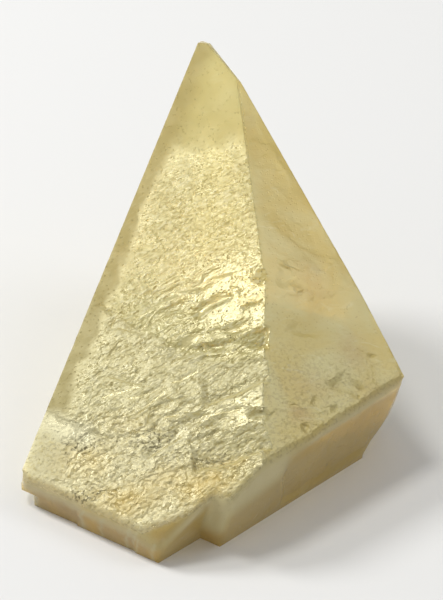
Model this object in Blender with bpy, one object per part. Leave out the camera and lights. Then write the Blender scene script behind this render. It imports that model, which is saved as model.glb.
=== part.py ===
"""A calcite crystal: one end of a dog tooth (a scalenohedron), broken off along its cleavage and lying on the break.

Every flat face of it is a plane, given by three numbers round the crystal's own c axis: the azimuth of the face,
the tilt of its normal from the c axis, and its distance from the crystal's centre. A block is clipped by those
planes one after another, and cleavage steps, chips and growth ledges are then cut out of it.
All sizes are in millimetres until the mesh is made. The crystal rests on z = 0 with its front towards -Y.
"""

import math
import random

import bmesh
import bpy
from mathutils import Matrix, Vector

MM = 0.001
NAME = "calcite_crystal"
COLLECTION = "calcite_dogtooth"

# How the crystal lies
LEAN = 44.6             # the c axis leans back this far from the vertical, towards +Y
CENTRE_HEIGHT = 4.34    # crystal centre above the table
BLOCK_HALF = 160.0      # half side of the rough block that the planes clip
CUTTER_HALF = 120.0     # half side of the rough block of a cutter
CLIP_TOLERANCE = 1e-5   # a corner nearer to a plane than this lies on it

# Growth faces of the dog tooth: azimuth, tilt of the normal from the c axis, distance from the centre
LEFT_UPPER = (-18.6, 69.9, 26.4)
LEFT_LOWER = (-19.0, 70.5, 26.6)
RIGHT_UPPER = (18.9, 69.1, 27.8)
RIGHT_LOWER = (18.8, 73.8, 28.5)
FLANK_LEFT = (-100.9, 69.0, 17.1)
FLANK_RIGHT = (100.9, 69.2, 12.4)
BACK_LEFT = (-139.1, 69.1, 11.5)
BACK_RIGHT = (139.1, 69.1, 11.5)

# Cleavage faces of the broken end, and the worn bevels between them and the growth faces
WALL_LEFT = (-59.4, 136.1, 49.7)
WALL_RIGHT = (60.2, 134.5, 33.9)
BEVEL_LEFT = (-51.5, 127.4, 51.05)
BEVEL_RIGHT = (48.0, 126.2, 37.3)
RIGHT_END = (84.4, 115.8, 29.2)
RIGHT_END_FOOT = (103.8, 119.5, 23.4)

# The blunted tip
TIP_RIGHT = (41.0, 51.6, 33.3)
TIP_TOP = (7.0, 24.0, 44.9)

# The notch at the front corner lies between the end of the left block and the start of the right one
NOTCH_LEFT_WALL = (59.9, 135.5, 31.2)
NOTCH_LEFT_BEVEL = (-8.0, 103.0, 46.2)
NOTCH_RIGHT_WALL = (-59.9, 135.5, 41.5)
NOTCH_RIGHT_BEVEL = (-51.5, 124.0, 41.9)
NOTCH_STAGGER = 0.002   # keeps the faces of two notch cutters from lying in one plane

# The left corner: its point is broken off, and a step is broken out under it
LEFT_POINT_X = -33.8
LEFT_STEP_X = -31.9
LEFT_STEP_HEIGHT = 2.45
LEFT_STEP_BACK_Y = -28.0

# Cleavage steps: how far each sheet is set back, and where it ends
SHEET_LEFT_OUTER = 0.5
SHEET_LEFT_OUTER_END = (-25.2, -42.6)
SHEET_LEFT_INNER = 0.24
SHEET_LEFT_INNER_END = (-18.2, -49.8)
SHEET_RIGHT = 0.5
SHEET_RIGHT_FOOT = 1.5
SHEET_RIGHT_START = (3.4, -40.4)
SOLE_STEP = 0.45
SOLE_STEP_Y = 3.0
SOLE_STEP_HEADING = (-0.35, -1.0, 0.0)

# Growth ledges: down the face from the tip, across it to the right, heading, width, reach, depth, flare.
# A ledge is deepest at its riser and fades out along its heading, which turns from down the face to its right.
RISER_HEADING = (-1.0, 0.0, -0.35)
LEDGE_TOP = 2.5                     # how far a ledge's cutter stands over the face
LEDGE_END = 1.2                     # where its cutter ends, as a share of the reach
LEDGE_BLOCK = 4.0                   # half side of its rough block, as a share of width and reach together
LEFT_FACE_LEDGES = (
    (46.9, 11.2, -115.0, 2.6, 3.4, 0.55, -0.30),     # small nick in the centre ridge
    (57.4, 11.4, -98.0, 3.4, 5.0, 0.80, -0.22),      # deeper nick below the bright patch
    (65.9, 8.0, -158.0, 11.5, 5.6, 0.70, -0.25),     # broad trough across the ridge
    (70.1, 11.6, -100.0, 1.5, 3.4, 0.60, -0.15),     # slit in the lower patch
    (76.7, 7.4, -162.0, 13.0, 4.6, 0.85, -0.35),     # broad trough above the lowest patch
    (50.3, -4.4, -158.0, 6.4, 2.4, 0.35, -0.75),
    (51.6, 3.2, -148.0, 5.8, 2.0, 0.45, -0.85),
    (57.0, 0.6, -154.0, 4.2, 1.8, 0.35, -0.80),
    (55.3, 7.3, -162.0, 3.6, 1.5, 0.40, -0.80),
    (59.0, 2.0, -168.0, 10.5, 2.2, 0.40, -0.90),
    (71.8, 0.2, -142.0, 6.6, 3.2, 0.50, -0.60),
    (74.2, -3.0, -150.0, 6.0, 2.8, 0.45, -0.65),
    (68.8, -3.6, -146.0, 5.4, 2.6, 0.35, -0.65),
    (63.4, -9.0, 168.0, 7.0, 2.2, 0.25, -0.80),
    (54.6, -9.4, 172.0, 6.0, 2.2, 0.22, -0.80),
)
RIGHT_FACE_LEDGES = (
    (48.2, 2.6, 196.0, 3.6, 2.0, 0.35, -0.60),
    (66.0, 9.0, 170.0, 6.0, 3.0, 0.25, -0.70),
    (57.0, 4.0, 178.0, 5.0, 2.6, 0.20, -0.70),
)
FLANK_LEDGES = (
    (30.0, 2.0, 158.0, 8.0, 7.0, 0.35, -0.40),
    (46.0, -3.0, 204.0, 10.0, 7.0, 0.45, -0.45),
    (58.0, 5.0, 170.0, 9.0, 7.0, 0.40, -0.40),
)
BACK_LEDGES = (
    (18.0, 0.0, 165.0, 8.0, 6.0, 0.40, -0.40),
    (33.0, 3.0, 200.0, 9.0, 7.0, 0.50, -0.40),
)

# Small shingles of growth, strewn over the rougher part of the left face
SHINGLE_COUNT = 44
SHINGLE_SEED = 11
SHINGLE_DOWN = (45.0, 80.0)
SHINGLE_ACROSS = (-0.19, 0.09)      # share of the distance down, so that they stay within the widening face
SHINGLE_HEADING = (-172.0, -136.0)
SHINGLE_WIDTH = (3.0, 7.0)
SHINGLE_REACH = (1.2, 2.2)
SHINGLE_DEPTH = (0.08, 0.20)
SHINGLE_FLARE = -0.85

# Material
BODY_COLOUR = (0.70, 0.62, 0.30, 1.0)
BODY_ROUGHNESS = 0.35


def clear_scene():
    for item in list(bpy.data.objects):
        bpy.data.objects.remove(item, do_unlink=True)


def crystal_axes():
    """Directions of azimuth 0, azimuth 90 and the c axis, with the crystal lying on its broken end."""
    lean = math.radians(LEAN)
    front = Vector((0.0, -math.cos(lean), math.sin(lean)))
    right = Vector((1.0, 0.0, 0.0))
    c_axis = Vector((0.0, math.sin(lean), math.cos(lean)))
    return front, right, c_axis


def plane(face):
    """A point on the face and its outward normal."""
    azimuth, tilt, distance = face
    front, right, c_axis = crystal_axes()
    turn = math.radians(azimuth)
    across = math.sin(math.radians(tilt))
    normal = front * across * math.cos(turn) + right * across * math.sin(turn)
    normal += c_axis * math.cos(math.radians(tilt))
    return Vector((0.0, 0.0, CENTRE_HEIGHT)) + normal * distance, normal


def shifted(face, step):
    azimuth, tilt, distance = face
    return azimuth, tilt, distance + step


def clip(bm, point, normal):
    """Cut away everything beyond the plane and close the cut with a flat face."""
    geometry = bm.verts[:] + bm.edges[:] + bm.faces[:]
    cut = bmesh.ops.bisect_plane(
        bm, geom=geometry, dist=CLIP_TOLERANCE, plane_co=point, plane_no=normal, clear_outer=True)
    rim = [item for item in cut["geom_cut"] if isinstance(item, bmesh.types.BMEdge)]
    if rim:
        bmesh.ops.holes_fill(bm, edges=rim, sides=0)


def clipped_block(half, planes):
    """A cube of that half side, clipped by planes of a point and an outward normal."""
    bm = bmesh.new()
    bmesh.ops.create_cube(bm, size=2.0 * half)
    for point, normal in planes:
        clip(bm, point, normal)
    bmesh.ops.recalc_face_normals(bm, faces=bm.faces[:])
    return bm


def make_object(bm, name, collection):
    """Scale the mesh from millimetres to metres and give it an object of its own."""
    bmesh.ops.scale(bm, vec=(MM, MM, MM), verts=bm.verts[:])
    mesh = bpy.data.meshes.new(name)
    bm.to_mesh(mesh)
    bm.free()
    item = bpy.data.objects.new(name, mesh)
    collection.objects.link(item)
    return item


def make_cutter(bm, name, collection):
    item = make_object(bm, name, collection)
    item.hide_render = True
    item.display_type = "WIRE"
    return item


def subtract(item, cutter):
    cut = item.modifiers.new("cut_" + cutter.name, "BOOLEAN")
    cut.operation = "DIFFERENCE"
    cut.solver = "EXACT"
    cut.object = cutter


def meeting_point(*faces):
    """The point where three faces meet."""
    planes = [plane(face) for face in faces]
    rows = Matrix([normal for _, normal in planes])
    return rows.inverted() @ Vector([point.dot(normal) for point, normal in planes])


def face_frame(face, heading, down, across):
    """A frame on a face: z outward, x along the heading, its origin given from the crystal's tip."""
    tip = meeting_point(LEFT_UPPER, FLANK_LEFT, FLANK_RIGHT)
    point, normal = plane(face)
    c_axis = crystal_axes()[2]
    down_face = (normal * normal.dot(c_axis) - c_axis).normalized()
    across_face = normal.cross(down_face)
    origin = tip - normal * normal.dot(tip - point) + down_face * down + across_face * across
    turn = math.radians(heading)
    x_axis = down_face * math.cos(turn) + across_face * math.sin(turn)
    y_axis = normal.cross(x_axis)
    frame = Matrix((x_axis, y_axis, normal)).transposed().to_4x4()
    frame.translation = origin
    return frame


def ledge_cutter(face, ledge):
    """The wedge that a growth ledge lacks, deep at its riser and fading out along the heading."""
    down, across, heading, width, reach, depth, flare = ledge
    planes = (
        (Vector((0.0, 0.0, -depth)), Vector(RISER_HEADING)),
        (Vector((0.0, 0.0, -depth)), Vector((depth / reach, 0.0, -1.0))),
        (Vector((0.0, width / 2.0, 0.0)), Vector((-flare, 1.0, 0.0))),
        (Vector((0.0, -width / 2.0, 0.0)), Vector((-flare, -1.0, 0.0))),
        (Vector((0.0, 0.0, LEDGE_TOP)), Vector((0.0, 0.0, 1.0))),
        (Vector((reach * LEDGE_END, 0.0, 0.0)), Vector((1.0, 0.0, 0.0))),
    )
    half = LEDGE_BLOCK * (width + reach)
    bm = clipped_block(half, [(point, normal.normalized()) for point, normal in planes])
    bmesh.ops.transform(bm, matrix=face_frame(face, heading, down, across), verts=bm.verts[:])
    return bm


def outer_side(face):
    """The plane of a face, turned so that a block clipped by it keeps what lies beyond the face."""
    point, normal = plane(face)
    return point, -normal


def rough_crystal(collection):
    """The convex crystal that all the faces bound, before anything is broken out of it."""
    faces = (
        LEFT_UPPER, LEFT_LOWER, RIGHT_UPPER, RIGHT_LOWER, FLANK_LEFT, FLANK_RIGHT, BACK_LEFT, BACK_RIGHT,
        WALL_LEFT, WALL_RIGHT, BEVEL_LEFT, BEVEL_RIGHT, RIGHT_END, RIGHT_END_FOOT, TIP_RIGHT, TIP_TOP,
    )
    planes = [plane(face) for face in faces]
    planes.append((Vector((0.0, 0.0, 0.0)), Vector((0.0, 0.0, -1.0))))
    planes.append((Vector((LEFT_POINT_X, 0.0, 0.0)), Vector((-1.0, 0.0, 0.0))))
    return make_object(clipped_block(BLOCK_HALF, planes), NAME, collection)


def notch_cutters(collection):
    """What is missing at the front corner: beyond the left block and in front of the right one."""
    left_ends = (NOTCH_LEFT_WALL, NOTCH_LEFT_BEVEL)
    right_ends = (NOTCH_RIGHT_WALL, NOTCH_RIGHT_BEVEL)
    cutters = []
    for number, left_end in enumerate(left_ends):
        for letter, right_end in zip("ab", right_ends):
            planes = [outer_side(shifted(left_end, NOTCH_STAGGER * len(cutters))), outer_side(right_end)]
            name = "notch_%d%s" % (number, letter)
            cutters.append(make_cutter(clipped_block(CUTTER_HALF, planes), name, collection))
    return cutters


def left_step_cutter(collection):
    """The step broken out under the left corner."""
    planes = (
        (Vector((LEFT_STEP_X, 0.0, 0.0)), Vector((1.0, 0.0, 0.0))),
        (Vector((0.0, 0.0, LEFT_STEP_HEIGHT)), Vector((0.0, 0.0, 1.0))),
        (Vector((0.0, LEFT_STEP_BACK_Y, 0.0)), Vector((0.0, 1.0, 0.0))),
    )
    return make_cutter(clipped_block(CUTTER_HALF, planes), "left_step", collection)


def sheet_cutter(wall, depth, end, toward, collection, name, floor=None):
    """A cleavage sheet missing from a wall, from a seam at the end point onwards."""
    seam_normal = Vector(toward).normalized()
    planes = [outer_side(shifted(wall, -depth)), (Vector((end[0], end[1], 0.0)), -seam_normal)]
    if floor is not None:
        planes.append((Vector((0.0, 0.0, floor)), Vector((0.0, 0.0, -1.0))))
    return make_cutter(clipped_block(CUTTER_HALF, planes), name, collection)


def sheet_cutters(collection):
    """Steps in the two walls and under the sole, each as thick as the cleavage sheet that came off."""
    seam_left = tuple(-part for part in plane(NOTCH_LEFT_WALL)[1])
    seam_right = tuple(-part for part in plane(NOTCH_RIGHT_WALL)[1])
    outer = sheet_cutter(
        WALL_LEFT, SHEET_LEFT_OUTER, SHEET_LEFT_OUTER_END, seam_left, collection, "sheet_left_outer")
    inner = sheet_cutter(
        WALL_LEFT, SHEET_LEFT_INNER, SHEET_LEFT_INNER_END, seam_left, collection, "sheet_left_inner")
    right = sheet_cutter(
        WALL_RIGHT, SHEET_RIGHT, SHEET_RIGHT_START, seam_right, collection, "sheet_right", SHEET_RIGHT_FOOT)
    sole = (
        (Vector((0.0, 0.0, SOLE_STEP)), Vector((0.0, 0.0, 1.0))),
        (Vector((0.0, SOLE_STEP_Y, 0.0)), Vector(SOLE_STEP_HEADING).normalized()),
    )
    return [outer, inner, right, make_cutter(clipped_block(CUTTER_HALF, sole), "sole_step", collection)]


def shingle_ledges():
    """Small ledges at seeded places on the left face, in the form of the ledge lists."""
    chance = random.Random(SHINGLE_SEED)
    ledges = []
    for _ in range(SHINGLE_COUNT):
        down = chance.uniform(*SHINGLE_DOWN)
        ledges.append((
            down,
            down * chance.uniform(*SHINGLE_ACROSS),
            chance.uniform(*SHINGLE_HEADING),
            chance.uniform(*SHINGLE_WIDTH),
            chance.uniform(*SHINGLE_REACH),
            chance.uniform(*SHINGLE_DEPTH),
            SHINGLE_FLARE,
        ))
    return ledges


def ledge_cutters(collection):
    """Every growth ledge of every face."""
    plans = [(LEFT_LOWER, ledge) for ledge in LEFT_FACE_LEDGES]
    plans += [(RIGHT_LOWER, ledge) for ledge in RIGHT_FACE_LEDGES]
    plans += [(FLANK_LEFT, ledge) for ledge in FLANK_LEDGES]
    plans += [(FLANK_RIGHT, ledge) for ledge in FLANK_LEDGES]
    plans += [(BACK_LEFT, ledge) for ledge in BACK_LEDGES]
    plans += [(BACK_RIGHT, ledge) for ledge in BACK_LEDGES]
    plans += [(LEFT_UPPER, ledge) for ledge in shingle_ledges()]
    cutters = []
    for number, (face, ledge) in enumerate(plans):
        cutters.append(make_cutter(ledge_cutter(face, ledge), "ledge_%02d" % number, collection))
    return cutters


def calcite_material():
    material = bpy.data.materials.new("honey_calcite")
    material.use_nodes = True
    shader = material.node_tree.nodes["Principled BSDF"]
    shader.inputs["Base Color"].default_value = BODY_COLOUR
    shader.inputs["Roughness"].default_value = BODY_ROUGHNESS
    shader.inputs["Metallic"].default_value = 0.0
    return material


def centre_on_origin(items):
    """Move everything so that the middle of the crystal's bounding box stands over the origin."""
    bpy.context.view_layer.update()
    crystal = items[0].evaluated_get(bpy.context.evaluated_depsgraph_get())
    corners = [Vector(corner) for corner in crystal.bound_box]
    shift = Vector((
        -(min(corner.x for corner in corners) + max(corner.x for corner in corners)) / 2.0,
        -(min(corner.y for corner in corners) + max(corner.y for corner in corners)) / 2.0,
        -min(corner.z for corner in corners),
    ))
    for item in items:
        item.location = shift


def main():
    clear_scene()
    parts = bpy.data.collections.new(COLLECTION)
    tools = bpy.data.collections.new("cutters")
    bpy.context.scene.collection.children.link(parts)
    bpy.context.scene.collection.children.link(tools)
    crystal = rough_crystal(parts)
    crystal.data.materials.append(calcite_material())
    cutters = notch_cutters(tools) + [left_step_cutter(tools)] + sheet_cutters(tools) + ledge_cutters(tools)
    for cutter in cutters:
        subtract(crystal, cutter)
    centre_on_origin([crystal] + cutters)


main()
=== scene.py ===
"""The looks of a honey calcite dog tooth: its worked surface and stone, on white paper in soft light."""
import math

import bmesh
import bpy
import numpy as np
from mathutils import Matrix, Vector, kdtree
from mathutils.geometry import delaunay_2d_cdt


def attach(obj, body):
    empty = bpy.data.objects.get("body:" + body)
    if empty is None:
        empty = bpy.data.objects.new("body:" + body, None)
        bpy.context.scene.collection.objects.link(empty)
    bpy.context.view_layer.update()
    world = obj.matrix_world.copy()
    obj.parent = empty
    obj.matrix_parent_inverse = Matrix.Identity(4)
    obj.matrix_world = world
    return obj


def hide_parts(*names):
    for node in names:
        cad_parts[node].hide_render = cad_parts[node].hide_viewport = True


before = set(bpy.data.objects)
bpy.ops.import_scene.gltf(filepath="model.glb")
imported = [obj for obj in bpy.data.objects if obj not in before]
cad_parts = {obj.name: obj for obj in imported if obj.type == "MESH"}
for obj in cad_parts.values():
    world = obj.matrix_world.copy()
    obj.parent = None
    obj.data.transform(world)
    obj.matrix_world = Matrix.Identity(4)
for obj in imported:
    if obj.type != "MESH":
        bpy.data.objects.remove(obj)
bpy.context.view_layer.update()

NODE = "calcite_crystal"
MM = 0.001

# The crystal: its c axis leans back from the vertical, and its growth faces would meet at the tip point
AXIS_LEAN = math.radians(44.6)
C_AXIS = Vector((0.0, math.sin(AXIS_LEAN), math.cos(AXIS_LEAN)))
TIP = Vector((2.57, 38.86, 45.17)) * MM

# Outward directions of its main faces
FACES = {
    "left": (-0.304, -0.396, 0.866),
    "right": (0.306, -0.415, 0.857),
    "flank_left": (-0.917, 0.377, 0.131),
    "flank_right": (0.918, 0.375, 0.129),
    "back_left": (-0.612, 0.753, -0.242),
    "back_right": (0.612, 0.753, -0.242),
    "wall_left": (-0.602, -0.754, -0.263),
    "wall_right": (0.615, -0.748, -0.252),
    "bevel_left": (-0.625, -0.778, -0.080),
    "bevel_right": (0.600, -0.799, -0.040),
    "front_bevel": (-0.130, -0.850, 0.510),
    "right_end": (0.896, -0.368, -0.248),
    "right_foot": (0.845, -0.199, -0.497),
    "tip_right": (0.513, 0.014, 0.858),
    "tip_top": (0.050, 0.352, 0.935),
    "sole": (0.0, 0.0, -1.0),
}
FLANKS = ("flank_left", "flank_right", "back_left", "back_right")
WALLS = ("wall_left", "wall_right", "right_end", "right_foot")
BEVELS = ("bevel_left", "bevel_right", "front_bevel")
FACE_NUMBERS = {face: number for number, face in enumerate(FACES)}
FACE_NORMALS = np.array([Vector(direction).normalized() for direction in FACES.values()])
LEFT_NORMAL = Vector(FACES["left"]).normalized()
SAME_FACE = math.cos(math.radians(11.0))     # a facet turned further is a ledge's side
NEAR_FACE = 1.4 * MM                         # a small facet further under a face isn't part of it
SMALL_FACET = 5.0 * MM * MM

# The mesh
MERGE_GAP = 0.002 * MM
FLAT_ANGLE = math.radians(0.05)
SPACING = 0.44 * MM
LEFT_SPACING = 0.33 * MM
SOLE_SPACING = 1.0 * MM
SOLE_SLOPE = -0.9                            # a facet whose normal points further down than this is the sole
ROW_PITCH = math.sqrt(3.0) / 2.0
GRID_SEED = 7
GRID_SHAKE = 0.17                            # shares of the spacing
EDGE_CLEARANCE = 0.62
SAME_PLACE = 1e-9

# Numbers that stir the noise
WORD = 0xFFFFFFFF
SEED_PRIME = 374761393
AXIS_PRIMES = (668265263, 2246822519, 3266489917)
STIR_PRIME = 2654435761
INNER_SHIFT = 15
LAST_SHIFT = 13
OCTAVE_SEEDS = 17
OCTAVE_GROWTH = 2.03
OCTAVE_SHIFT = 11.7
PLATE_TURN = 40.0

# Grains of the left face: degrees by which each rises to the right, and its length and width in mm
LEFT_GRAINS = {
    "wrinkle": (6.0, 2.4, 0.62),
    "peel": (40.0, 1.2, 0.55),
    "flake": (33.0, 2.1, 1.0),
    "chip": (26.0, 0.95, 0.60),
    "shelf": (24.0, 5.5, 2.6),
    "grit": (24.0, 0.9, 0.6),
    "hollow": (24.0, 1.0, 0.6),
}

# Heights and depths of its relief, in mm
LEFT_HEIGHTS = {
    "swell": 0.09,
    "wrinkle": 0.055,
    "peel": 0.020,
    "flake": 0.020,
    "corroded_flake": 0.032,
    "chip": 0.010,
    "corroded_chip": 0.030,
    "shelf": 0.11,
    "grit": 0.034,
    "hollow": 0.09,
    "trough": 0.30,
    "crack": 0.14,
    "zone_line": 0.09,
}

# Where each kind begins and is full, and where some fade again, in mm down from the tip
WRINKLED = (20.0, 26.0, 34.0, 40.0)
PEELED = (26.0, 34.0, 70.0, 80.0)
FLAKED = (24.0, 34.0)
CHIPPED = (30.0, 50.0)
HOLLOWED = (40.0, 52.0)
SHELVED = (44.0, 54.0)
CORRODED = (48.0, 62.0)
TROUGH = (59.5, 61.2, 64.4, 67.0)
TROUGH_LEAN = 0.3

# Marks of the left face, as places in mm down from the tip and across
SWELL_SIZE = 8.0
STRIP_SLOPE = -0.31                          # the smooth strip along the face's left edge, also darkened in colour as painted shade
STRIP_WIDTH = 3.6
STRIP_RELIEF = 0.08
CALM_RELIEF = 0.15                           # share of the rough relief left on the calm patches
CALM_UPPER = ((51.0, 6.5), 7.5, 6.5)
CALM_LOWER = ((69.0, 8.5), 3.8, 3.6)
ZONE_LINE = ((50.0, -15.3), (53.1, -9.3), (58.9, 0.2), (60.5, 4.0))
ZONE_EDGE = ((49.5, -16.0),) + ZONE_LINE[1:]  # where the etched zone's colour begins
CRACK = ((67.4, -21.0), (70.6, -15.0), (72.0, -11.5))
CRACK_WIDTH = 0.5
ZONE_LINE_WIDTH = 0.45
GOUGE_WANDER = 0.35
GOUGE_WANDER_SIZE = 1.1

# Gouges of the left face: where each starts and ends, its width and its depth
GOUGES = (
    ((49.6, -7.2), (48.4, -2.6), 1.3, 0.16),
    ((52.0, 0.6), (49.4, 4.6), 0.7, 0.22),
    ((56.6, -1.0), (55.3, 1.5), 0.8, 0.26),
    ((55.1, 6.0), (54.3, 8.3), 0.6, 0.24),
    ((48.2, 5.2), (49.0, 7.2), 0.3, 0.10),
    ((50.4, 6.0), (49.3, 7.5), 0.3, 0.10),
    ((52.6, 8.4), (51.2, 10.8), 0.3, 0.12),
    ((58.2, -2.5), (57.6, 1.5), 0.9, 0.36),
    ((57.9, 1.8), (58.2, 5.4), 0.8, 0.34),
    ((45.8, 9.4), (44.9, 11.0), 0.5, 0.24),
    ((70.8, -4.8), (67.7, 0.5), 0.8, 0.36),
    ((71.3, 2.7), (70.1, 6.0), 0.6, 0.34),
    ((73.6, 0.6), (72.4, 4.6), 0.7, 0.36),
    ((66.5, -7.5), (64.9, -4.5), 0.7, 0.24),
    ((52.6, -5.8), (50.8, -1.2), 0.6, 0.26),
)

# The right face, given the same way: low plates, broken pits, and the bright flash of a torn flake
RIGHT_GRAINS = {"plate": (-24.0, 3.2, 1.4), "flash": (-30.0, 1.6, 0.5)}
RIGHT_HEIGHTS = {
    "swell": 0.10,
    "ripple": 0.008,
    "plate": 0.014,
    "fine_plate": 0.014,
    "pin_pit": 0.03,
    "broken_pit": 0.16,
    "flash": 0.16,
}
RIPPLE_SIZE = 1.1
FINE_PLATE_SIZE = 0.9
PIN_PIT_SIZE = 0.55
RIGHT_LOWER = (50.0, 66.0)
RIGHT_PITS = ((72.5, 0.5), (68.2, 3.1), (60.8, 14.5), (70.7, -4.6), (69.6, 5.9), (67.0, 10.3))
RIGHT_PIT_REACH = (0.35, 0.55)
FLASH_SPOTS = (((46.5, 3.2), 1.6, 1.2), ((49.6, 3.4), 0.8, 1.0))

# The flanks and the back: growth plates, patches of finer ones, scratches and pin pits
FLANK_GRAINS = {"plate": (24.0, 5.0, 2.4), "fine_plate": (24.0, 1.8, 0.9), "scratch": (24.0, 1.8, 0.7)}
FLANK_HEIGHTS = {"swell": 0.12, "plate": 0.26, "fine_plate": 0.085, "scratch": 0.028, "pin_pit": 0.04}
FLANK_GROWN = (24.0, 50.0)
FLANK_PITTED = (20.0, 40.0)
FLANK_PATCH_SIZE = 9.0
FLANK_PIT_SIZE = 0.8

# The cleaved walls, in mm: how wide and tall their low steps, thin seams and chips are, and how high or deep
WALL_STEP = (6.5, 5.0)
WALL_SEAM = (3.0, 0.7)
WALL_CHIP = 0.9
WALL_HEIGHTS = {"step": 0.07, "seam": 0.012, "chip": 0.05}

# The worn bevels and the blunted tip: sizes and heights of their lumps and grit
LUMP_SIZE = 2.6 * MM
LUMP_HEIGHT = 0.06
WORN_GRIT_SIZE = 0.9 * MM
WORN_GRIT_HEIGHT = 0.02

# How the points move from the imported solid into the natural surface
EDGE_RELIEF = 0.12                           # share of the relief left right at an edge
EDGE_FADE = 1.6 * MM
HOLD = 0.02                                  # how firmly a point stays where no face pushes it
WANDER = 1.0 * MM
WANDER_SIZE = 2.8 * MM
WANDER_SEEDS = (11, 12, 13)
WANDER_FADE = 2.2 * MM
LOOSE_TURNS = 12
RIM_WEAR = 0.6                               # shares of the way to the neighbours' middle, for each turn
LEDGE_WEAR = 0.35
RIDGE_WEAR = 0.12
RIM_REACH = (0.3 * MM, 1.3 * MM)
LEDGE_REACH = (0.2 * MM, 0.6 * MM)
WEAR_TURNS = 14
RIDGE_TURNS = 2
FLOOR_GAP = 0.02 * MM
UNFOLD_TURNS = 40
UNFOLD_SHARE = 0.5
LEAST_AGREEMENT = 0.1
TINY = 1e-15

# Soft spots of colour: place down from the tip and across, reach down and across in mm, and strength
STAINS = (
    ((75.5, -14.0), 3.0, 4.6, 0.80),
    ((82.0, -7.5), 3.0, 7.0, 1.00),
    ((80.5, 2.0), 3.2, 7.0, 1.00),
    ((77.5, 7.0), 1.6, 4.0, 0.70),
    ((70.0, -9.0), 2.0, 3.5, 0.30),
)
GLOSSY = (
    ((68.5, 8.0), 4.5, 4.5, 1.00),
    ((78.0, 9.0), 2.2, 2.6, 1.00),
    ((71.0, 1.0), 3.0, 4.0, 1.00),
)
SPECKLED = (
    ((73.4, -15.8), 1.6, 2.8, 1.00),
    ((81.4, -14.2), 1.2, 2.8, 1.00),
    ((73.0, -5.0), 1.6, 3.6, 1.00),
    ((76.5, 2.0), 1.6, 6.0, 0.50),
)
BROWN_CLOUDS = (
    ((70.4, 0.2), 1.6, 1.7, 1.00),
    ((59.6, 11.2), 3.6, 2.6, 0.70),
    ((49.1, 6.7), 5.0, 3.0, 0.55),
    ((65.9, 3.0), 2.2, 4.0, 0.45),
    ((66.5, 13.0), 2.0, 3.5, 0.35),
)

# Where other marks begin and are full, in mm down from the tip unless said otherwise
STRIP_END = (66.0, 69.0)
STRIP_END_LEAN = 0.45
STRIP_END_ACROSS = -21.0
SHEEN_BANDS = ((0.30, (14.0, 30.0, 50.0, 60.0)), (0.70, (34.0, 48.0, 58.5, 61.5)))
SHEEN_SIDE = (-11.0, 3.0)                    # across
ZONE_BORDER = (-0.4, 0.8)                    # below the etched zone's edge
SPECK_HAZE = 0.22
SPECK_REACH = (58.0, 72.0)
RIGHT_SPECK_REACH = (52.0, 64.0)
GRAINED = (18.0, 30.0)
RIGHT_GRAINED = (50.0, 64.0)
PALE_CORNER = ((69.2, -20.5), (71.8, -15.0))
PALE_WIDTH = 3.4
CORNER_STRETCH = (64.0, 76.0)                # the lower left of the face, where the etching is milkier
CORNER_SIDE = (-4.0, 8.0)
SMOOTH_CORNER = ((74.5, -20.5), 7.5, 4.5)

# The worn walls' soft borders, and the milky band under the growth faces, partly brightened as painted light,
# in mm below them
TINT_TURNS = 8
RIM_TINT_TURNS = 2
WALL_SHARES = (1.0, 0.6)                     # the left wall, and the others
MILKY_AND_PAINTED_LIGHT_BAND = (1.5, 2.6)
OTHER_PANELS = 0.8

# Vertical seams in the left wall, at these places along X in mm, and how amber the panels between them are
SEAMS = (-20.15, -17.7, -14.2, -13.15, -10.9)
SEAM_WIDTH = (0.05, 0.30)
PANEL_TINTS = (0.10, 0.80, 0.30, 0.00, 0.45, 1.0)

# Colours of the stone, some of them also used for painted shade and painted light
HONEY = (0.840, 0.670, 0.230, 1.0)
PALE_HONEY = (0.870, 0.770, 0.370, 1.0)
# milky white for the veils, the etched zone and the seams, and also laid as painted highlight on the grain's
# crests
MILK_AND_PAINTED_GLINT = (0.980, 0.900, 0.540, 1.0)
CHALK = (1.000, 0.940, 0.600, 1.0)
# pale cream of the worn rims, partly wear and partly painted light on the edge band
CREAM = (1.000, 0.860, 0.480, 1.0)
GOLD = (0.730, 0.560, 0.180, 1.0)
OLIVE = (0.700, 0.630, 0.255, 1.0)
# a dark straw laid as painted shade: on the strip along the left edge and in the grain's troughs
SHADE_STRAW = (0.530, 0.430, 0.150, 1.0)
OCHRE = (0.900, 0.640, 0.170, 1.0)
# dark brown for the specks, and for painted shade in the pits
DARK = (0.150, 0.115, 0.040, 1.0)
RUSSET = (0.620, 0.400, 0.130, 1.0)
ROSE = (0.690, 0.460, 0.190, 1.0)
AMBER = (0.820, 0.500, 0.110, 1.0)

# Its patterns: size in mm along each axis, then how fine, rough and twisted the noise is
PATTERNS = {
    "cloud": ((11.0, 11.0, 11.0), 4.0, 0.55, 0.6),
    "wisp": ((6.0, 3.0, 9.0), 5.0, 0.60, 1.6),
    "peel": ((0.95, 0.40, 0.60), 1.8, 0.60, 0.0),
    "grit": ((0.55, 0.55, 0.55), 3.0, 0.65, 0.0),
    "rust": ((1.6, 1.6, 1.6), 4.0, 0.65, 0.0),
    "streak": ((4.0, 4.0, 14.0), 3.0, 0.60, 0.0),
    "pit_patch": ((3.2, 3.2, 3.2), 2.0, 0.50, 0.0),
    "dirt": ((0.5, 0.5, 0.5), 2.0, 0.50, 0.0),
    "polish": ((2.5, 2.5, 2.5), 3.0, 0.50, 0.0),
}
NO_TURN = (0.0, 0.0, 0.0)
HONEY_CLOUDS = (0.35, 0.68)
MILKY_VEILS = (0.55, 0.78, 0.0, 0.75)
AMBER_STREAKS = (0.36, 0.70, -0.3, 0.3)
WALL_SHARE = 0.9
FRONT_SHARE = 0.7
PIT_EDGE = (0.26, 0.10)
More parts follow.
